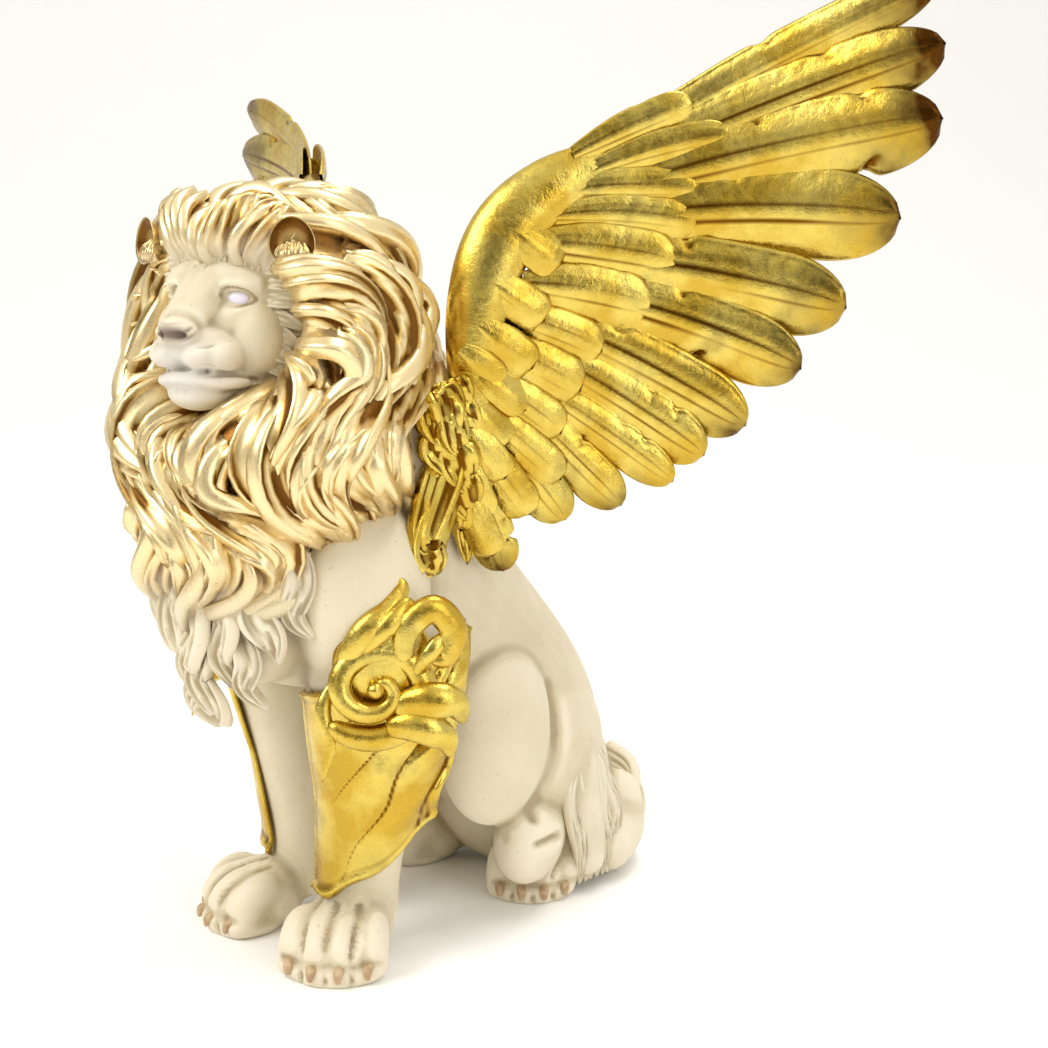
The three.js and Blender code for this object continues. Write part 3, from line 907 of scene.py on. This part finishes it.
def makeShoulderFeathers():
    # twisted gold feathers that climb from the mane's edge over the wing's root
    bm = bmesh.new()
    for side in (1, -1):
        for row in range(5):
            for col in range(3):
                y = -62 + 17 * col + 5 * row
                z = 320 - 19 * row - 7 * (col % 2)
                size = random.uniform(0.9, 1.15)
                path = skinPath(side, [(y, z), (y + 1, z - 9), (y + 4, z - 19 * size),
                        (y + 11, z - 29 * size)],
                        2.5 + 1.2 * (4 - row) + 2.2 * (col % 2))
                addLock(bm, path, [(side, -0.4, 0.15)] * 4, 10.5 * size, 8.0,
                        random.choice((-0.25, 0.25)), 20, 28)
    newPiece("shoulder_feathers", bm, leaf, 2)


makeShoulderFeathers()


def makeBackFur():
    bm = bmesh.new()
    # long fur that falls from the left haunch to the ground, and the brush of the tail
    for i in range(9):
        t = i / 8
        sway = 3.0 * math.sin(i * 2.1)
        route = [(49 + 10 * t, 66 + 26 * t, 118 - 30 * t), (64 + 4 * t, 68 + 26 * t + sway, 92 - 22 * t),
                (68 + 3 * t, 66 + 34 * t - sway, 56 - 10 * t),
                (72 - 2 * t, 70 + 36 * t + sway, 28 - 4 * t),
                (70 + 3 * t, 72 + 40 * t, 5)]
        addLock(bm, route, [(1, 0.25 * t - 0.1, 0.1)] * 5, 7.5, 6.5, 0.4, 28, 30)
    for i in range(7):
        t = i / 6
        route = [(28 + 8 * t, 152 - 8 * t, 62 - 30 * t), (48 + 8 * t, 150 - 14 * t, 50 - 24 * t),
                (62 + 6 * t, 138 - 20 * t, 34 - 18 * t), (72 - 3 * t, 120 - 20 * t, 14 - 6 * t)]
        addLock(bm, route, [(0.8, 0.5, 0.5)] * 4, 8.5, 7.0, 0.5, 26, 30)
    newPiece("haunch_fur", bm, resin, 3)


makeBackFur()
print("hair made")


wingPlan = {
    "rootX": 60, "rootY": -18.1, "sweep": math.radians(35), "span": 236, "cup": 24, "tipForward": 10,
    "rightDrop": 0.15,
    "arm": [(4, 240), (7, 290), (10, 338), (22, 374), (46, 398), (80, 413), (114, 427)],
    "armWidth": [9, 12, 16, 18, 16, 11, 4],
    "armDepth": [7, 9, 10, 9, 8, 5, 2.5],
    # each feather: root out and up, tip out and up, half width
    "flight": [((60, 406), (231, 494), 13), ((60, 398), (236, 465), 18), ((56, 390), (236, 430), 22),
        ((50, 378), (219, 383), 23), ((46, 364), (195, 339), 21), ((42, 350), (174, 308), 19),
        ((36, 336), (147, 278), 18), ((32, 322), (126, 262), 16), ((28, 306), (110, 248), 12),
        ((24, 296), (83, 235), 13), ((16, 282), (54, 228), 13), ((8, 264), (22, 202), 12)],
    "coverts": [((58, 414), (118, 440), 8), ((66, 406), (138, 424), 8), ((50, 396), (122, 397), 9),
        ((46, 384), (121, 380), 9), ((38, 370), (111, 360), 12), ((32, 350), (98, 338), 12),
        ((26, 334), (73, 316), 10), ((22, 318), (62, 296), 11), ((16, 302), (52, 274), 10),
        ((12, 288), (52, 250), 9), ((8, 274), (36, 232), 9)],
    "scapulars": [((28, 378), (52, 360), 9), ((18, 352), (44, 332), 9), ((12, 330), (38, 308), 9),
        ((10, 312), (36, 288), 8), ((6, 296), (26, 270), 8), ((6, 280), (24, 252), 8),
        ((2, 266), (14, 232), 8), ((2, 318), (22, 300), 8), ((0, 300), (14, 276), 7),
        ((0, 282), (10, 256), 7), ((-2, 258), (2, 226), 8), ((6, 246), (18, 212), 7)],
}


def onWing(side, out, up, ahead):
    # out along the wing's sweep, up, and ahead of its middle face; it is cupped, with its tips forward
    s, c = math.sin(wingPlan["sweep"]), math.cos(wingPlan["sweep"])
    share = np.clip(out / wingPlan["span"], 0, 1)
    proud = ahead + wingPlan["tipForward"] * share ** 2 - wingPlan["cup"] * np.sin(math.pi * share)
    x = wingPlan["rootX"] + out * c + proud * s
    y = wingPlan["rootY"] + out * s - proud * c
    drop = wingPlan["rightDrop"] * np.maximum(out, 0) if side < 0 else 0 * out
    return np.stack([side * x, y, up - drop], axis=-1)


def addFeather(bm, side, root, tip, half, layer, face, tilt, steps, around, torn=0.0):
    # a vane with a raised quill, a few long ribs, fine barbs, nicked edges and a round end
    dirX, dirZ = tip[0] - root[0], tip[1] - root[1]
    length = math.hypot(dirX, dirZ)
    ax, az = dirX / length, dirZ / length
    nicks = [(random.uniform(0.4, 0.9), random.choice((-1, 1)),
            torn * random.uniform(0.5, 1)) for _ in range(4)]
    waves = [(random.uniform(-0.8, 0.8), random.uniform(0.1, 0.3)) for _ in range(4)]
    bow = random.uniform(0.03, 0.06)
    seed = random.uniform(0, 6)
    fine = min(half / 18, 1) ** 1.5

    def place(u, v):
        x = -np.cos(2 * math.pi * v)
        front = v < 0.5
        body = 0.5 + 0.5 * np.sin(np.clip(u / 0.55, 0, 1) * math.pi / 2)
        end = np.sqrt(np.clip(1 - (np.clip(u - 0.78, 0, 1) / 0.22) ** 2.1, 0, 1))
        w = half * body * end
        for at, edge, deep in nicks:
            bite = np.exp(-((u - at + 0.09 * np.abs(x)) / 0.022) ** 2)
            w = w * (1 - deep * bite * np.clip((x * edge - 0.4) * 3, 0, 1))
        along = u * length
        arch = bow * length * np.sin(math.pi * u)
        out = root[0] + ax * along - az * x * w + az * arch * 0.6
        up = root[1] + az * along + ax * x * w + ax * arch * 0.6
        camber = 0.3 * half * (1 - x ** 2) * body * (0.4 + 0.6 * end) - 0.035 * length * u ** 3
        quill = (0.5 + 0.8 * fine) * np.exp(-(x / 0.09) ** 2) * (1 - u) ** 0.35
        gutter = 0.5 * fine * np.exp(-((np.abs(x) - 0.2) / 0.08) ** 2)
        ribs = fine * sum(0.55 * np.exp(-((x - at - 0.25 * (u - 0.5) * np.sign(at)) / 0.06) ** 2)
                * np.clip(u * 3, 0, 1) * np.clip((0.9 - u) * 5, 0, 1) for at, _ in waves)
        barbs = 0.09 * np.sin((along - np.abs(x) * half * 0.9) / 1.6 + seed)
        barbs = barbs * np.clip(np.abs(x) * 2.4 - 1.1, 0, 1)
        rim = 0.45 * np.exp(-((np.abs(x) - 0.94) / 0.05) ** 2)
        relief = np.where(front, 0.9 + quill - gutter + ribs * 0.6 + barbs + rim,
                -0.8 - quill * 0.6 - ribs * 0.3)
        shell = np.clip(np.abs(np.sin(2 * math.pi * v)) * 4, 0, 1) * np.clip(end * 2, 0, 1)
        off = layer + face * (camber + relief * shell) + tilt * x * half * body
        return onWing(side, out, up, off)
    gridForm(bm, steps, around, place)


def tipShade(piece, side):
    # how far towards its tip each point of a flight feather lies, for the browner tips: partly the leaf's
    # amber tone, partly painted dark reflection
    plan = wingPlan
    place = readSkin(piece.data)[0] / mm
    out = (np.abs(place[:, 0]) - plan["rootX"]) / math.cos(plan["sweep"])
    up = place[:, 2] + (plan["rightDrop"] * np.maximum(out, 0) if side < 0 else 0)
    shade = np.zeros(len(place))
    for root, tip, half in plan["flight"]:
        length = math.hypot(tip[0] - root[0], tip[1] - root[1])
        ax, az = (tip[0] - root[0]) / length, (tip[1] - root[1]) / length
        along = ((out - root[0]) * ax + (up - root[1]) * az) / length
        off = np.abs((up - root[1]) * ax - (out - root[0]) * az) / half
        shade = np.maximum(shade, np.clip((along - 0.72) / 0.26, 0, 1) * np.clip(1.5 - off, 0, 1))
    return shade


def makeWing(side, node):
    plan = wingPlan
    random.seed(11)
    flight = bmesh.new()
    for i, (root, tip, half) in enumerate(plan["flight"]):
        addFeather(flight, side, root, tip, half, 0.5 * (i % 3) - 2, 1, 0.14, 78, 36, 0.2)
    piece = newPiece(node + "_flight", flight, leaf, 2, node)
    # browner feather tips: partly amber tone, partly painted dark reflection
    paint(piece, "dark", tipShade(piece, side))
    cover = bmesh.new()
    for face, gap in ((1, 3.0), (-1, -6.0)):
        for i, (root, tip, half) in enumerate(plan["coverts"]):
            addFeather(cover, side, root, tip, half * 1.3, gap + 0.4 * (i % 2), face, 0.16 * face,
                    34, 28, 0.06)
        for i, (root, tip, half) in enumerate(plan["scapulars"]):
            addFeather(cover, side, root, tip, half * 1.25, gap + face * (3.6 + 0.9 * (i % 3)), face,
                    face * random.uniform(-0.3, 0.45), 22, 24)
    newPiece(node + "_coverts", cover, leaf, 2, node)
    arm = bmesh.new()
    route = [tuple(onWing(side, np.array(p[0]), np.array(p[1]), 0.0)) for p in plan["arm"]]
    facing = (side * math.sin(plan["sweep"]), -math.cos(plan["sweep"]), 0)
    addBar(arm, route, plan["armWidth"], plan["armDepth"], facing, 60, 40)
    newPiece(node + "_arm", arm, leaf, 2, node)


makeWing(1, "wing_left")
makeWing(-1, "wing_right")
print("wings made")


guardPlan = {  # where each guard's inner edge lies, and its volute's angle, height and distance
    1: {"inner": -0.8, "volute": (0.86, 160, 39)},
    -1: {"inner": 0.2, "volute": (1.35, 158, 36)},
}


def legRing(side, height, angle, radius):
    # a point round a foreleg; angle 0 looks ahead and grows towards the outer side
    line = np.array(foreLegs[side]["line"], float)
    x = np.interp(-height, -line[:, 2], line[:, 0]) + np.sin(angle) * side * radius
    y = np.interp(-height, -line[:, 2], line[:, 1]) - np.cos(angle) * radius
    return np.stack([x, y, height], axis=-1)


def makeGuard(side):
    plan = guardPlan[side]
    bm = bmesh.new()

    def place(u, v):
        top = v < 0.5
        around = np.where(top, v * 2, 2 - v * 2)
        outer = 2.35 - 0.4 * u
        wave = 0.10 * np.sin(u * 21) * np.clip(u * 3, 0, 1)
        angle = plan["inner"] + (outer + wave - plan["inner"]) * around
        high = 150 + 36 * around ** 1.4
        low = 36 + 46 * around ** 2.0 + 1.6 * np.sin(around * 16)
        height = high + (low - high) * u
        leg = np.interp(-height, [-200, -150, -96, -46, 0], legRadius)
        flare = 17 * np.clip((around - 0.45) / 0.55, 0, 1) ** 2
        flare = flare * np.sin(math.pi * np.clip(0.22 + 0.62 * u, 0, 1))
        fan = np.arctan2(u + 0.06, 0.98 - around)
        ridge = np.abs(np.sin(fan * 7.5 + 1.6 * u)) ** 0.6
        folds = 5.0 * (ridge - 0.6) * np.clip(around * 1.9 - 0.45, 0, 1) * np.clip(1.35 - u, 0, 1)
        sweeps = 1.2 * np.sin(fan * 6 + 1) * np.clip(u * 2, 0, 1)
        rim = (1.8 * np.exp(-((u - 0.97) / 0.025) ** 2) + 2.0 * np.exp(-((around - 0.97) / 0.02) ** 2)
               + 1.3 * np.exp(-((around - 0.02) / 0.02) ** 2) + 1.5 * np.exp(-((u - 0.02) / 0.02) ** 2))
        edge = np.clip(np.minimum(u, 1 - u) * 60, 0, 1)
        edge = edge * np.clip(np.minimum(around, 1 - around) * 60, 0, 1)
        thick = np.where(top, 1.0, -1.0) * 1.2 * edge
        radius = leg + 2.4 + flare + folds + sweeps + rim * edge + thick
        return legRing(side, height, angle, radius)
    gridForm(bm, 90, 124, place)
    # the volute on the outer front, and the curls that stand over it
    anchor = legRing(side, np.array(plan["volute"][1]), np.array(plan["volute"][0]),
            np.array(plan["volute"][2]))
    turned = plan["volute"][0]
    out = unit(np.array([side * math.sin(turned), -math.cos(turned), 0.18]))
    across = unit(np.cross((0, 0, 1), out)) * side
    up = unit(np.cross(out, across)) * side

    def local(a, b, c):
        return anchor + across * a + up * b + out * c
    spiral = []
    for k in np.linspace(0, 1, 30):
        radius = 24 * (1 - k) ** 0.75 + 2.4
        turn = -2.5 + 2 * math.pi * 1.6 * k
        spiral.append(local(radius * math.cos(turn) * 1.08, radius * math.sin(turn) * 0.95, -1 + 7 * k))
    addBar(bm, spiral, [6.6, 6.8, 6.0, 4.6, 2.6], [5.0, 4.6, 4.2, 3.6, 2.6], out, 110, 20)
    addMass(bm, local(0, 0, 6), (4.2, 4.2, 4.2))
    addMass(bm, local(5, 12, -4), (25, 9, 27), side * turned)
    curls = (
        ([(-16, 12, 2), (-4, 28, 6), (8, 38, 5), (14, 48, 2), (12, 54, 0)], [5, 7, 6, 4, 1]),
        ([(-8, 18, 4), (6, 30, 8), (16, 40, 6), (20, 34, 3)], [4, 5, 4, 1.5]),
        ([(14, 10, 2), (16, 28, 7), (28, 38, 8), (38, 28, 6), (34, 14, 5),
          (26, 14, 5)], [5, 6.5, 7, 7, 5, 2]),
        ([(18, 4, 2), (26, 16, 7), (32, 22, 6), (31, 12, 4)], [3, 4, 4, 1]),
        ([(8, -10, 2), (24, -6, 8), (37, -8, 8), (43, -18, 3)], [6, 9, 8, 2]),
        ([(4, -18, 2), (20, -18, 7), (32, -24, 6), (36, -34, 1)], [5, 8, 7, 2]),
        ([(-20, 4, -3), (-25, -10, -3), (-22, -26, -3), (-26, -44, -5)], [2, 4, 3, 0.8]))
    for route, half in curls:
        addBar(bm, [local(*stop) for stop in route], half, [h * 0.6 for h in half], out, 34, 18)
    newPiece("guard_left" if side > 0 else "guard_right", bm, leaf, 3)


for side in (1, -1):
    makeGuard(side)
print("guards made")


cameraPlan = {"azimuth": math.radians(40), "pitch": math.radians(10), "place": (613, -624.6, 373),
        "angle": 36}
stagePlan = {"floor": "#FBFAF8", "half": 6.0, "bendFrom": 1.6, "bend": 1.2}


def makeStage():
    # a sweep of paper: flat under the figure and curving up well behind it
    bm = bmesh.new()
    bmesh.ops.create_grid(bm, x_segments=2, y_segments=60, size=stagePlan["half"])
    for vert in bm.verts:
        behind = vert.co.y - stagePlan["bendFrom"]
        if behind > 0:
            turn = min(behind / stagePlan["bend"], math.pi / 2)
            rest = behind - turn * stagePlan["bend"]
            vert.co.y = stagePlan["bendFrom"] + math.sin(turn) * stagePlan["bend"]
            vert.co.z = (1 - math.cos(turn)) * stagePlan["bend"] + rest
    turned = Matrix.Rotation(cameraPlan["azimuth"], 4, "Z")
    bmesh.ops.transform(bm, matrix=turned, verts=bm.verts)
    mesh = bpy.data.meshes.new("floor")
    bm.to_mesh(mesh)
    bm.free()
    mesh.polygons.foreach_set("use_smooth", [True] * len(mesh.polygons))
    floor = addObject("floor", mesh)
    paper = bpy.data.materials.new("paleStudioPaper")
    paper.use_nodes = True
    shader = paper.node_tree.nodes["Principled BSDF"]
    shader.inputs["Base Color"].default_value = linear(stagePlan["floor"])
    shader.inputs["Roughness"].default_value = 0.9
    mesh.materials.append(paper)


lampPlan = {  # metres and watts: where each lamp hangs, its two sides and its power
    "middle": (0, 0, 0.22),
    "lamps": {"key": ((-0.5, -1.7, 1.7), (1.1, 1.1), 27), "fill": ((2.0, -0.6, 1.0), (0.8, 1.4), 10),
        "top": ((0.3, 0.4, 2.0), (1.4, 0.5), 16)},
}


def addLamp(name, place, target, size, power):
    lamp = bpy.data.lights.new(name, "AREA")
    lamp.shape = "RECTANGLE"
    lamp.size, lamp.size_y = size
    lamp.energy = power
    holder = addObject(name, lamp)
    holder.location = place
    holder.rotation_euler = (Vector(target) - Vector(place)).to_track_quat("-Z", "Y").to_euler()


def makeLight():
    world = bpy.data.worlds.new("studio")
    world.use_nodes = True
    bpy.context.scene.world = world
    tree = world.node_tree
    sky = tree.nodes["Background"]
    where = addNode(tree, "ShaderNodeTexCoord").outputs["Generated"]
    parts = addNode(tree, "ShaderNodeSeparateXYZ", {}, {"Vector": where})
    patches = addNode(tree, "ShaderNodeTexNoise", {"Scale": 2.7, "Detail": 1.0}, {"Vector": where})
    # the room as the gold mirrors it: pale low down, dark patches at mid height and a bright ceiling
    rise = addNode(tree, "ShaderNodeMath", {"operation": "ADD"}, {}).outputs[0]
    tree.links.new(parts.outputs["Z"], rise.node.inputs[0])
    tree.links.new(spread(tree, patches.outputs["Fac"], 0.25, 0.75, -0.45, 0.45), rise.node.inputs[1])
    upper = blendColours(tree, spread(tree, rise, 0.34, 0.5), "#15110A", "#FFFDF6")
    room = blendColours(tree, spread(tree, rise, 0.0, 0.1), "#F4EFE2", upper)
    behind = spread(tree, parts.outputs["Y"], 0.25, -0.1)
    seen = addNode(tree, "ShaderNodeLightPath").outputs["Is Camera Ray"]  # the backdrop itself stays plain
    lit = blendColours(tree, behind, "#FFFFFF", room)
    tree.links.new(blendColours(tree, seen, lit, "#FFFFFF"), sky.inputs["Color"])
    sky.inputs["Strength"].default_value = 1.0
    for name, (place, size, power) in lampPlan["lamps"].items():
        addLamp(name, place, lampPlan["middle"], size, power)


def makeCamera():
    camera = bpy.data.cameras.new("camera")
    camera.angle = math.radians(cameraPlan["angle"])
    camera.clip_start = 0.01
    holder = addObject("camera", camera)
    holder.location = Vector(cameraPlan["place"]) * mm
    holder.rotation_euler = (math.pi / 2 - cameraPlan["pitch"], 0, cameraPlan["azimuth"])
    bpy.context.scene.camera = holder


makeStage()
makeLight()
makeCamera()
bpy.context.scene.view_settings.view_transform = "Standard"
print("stage made")
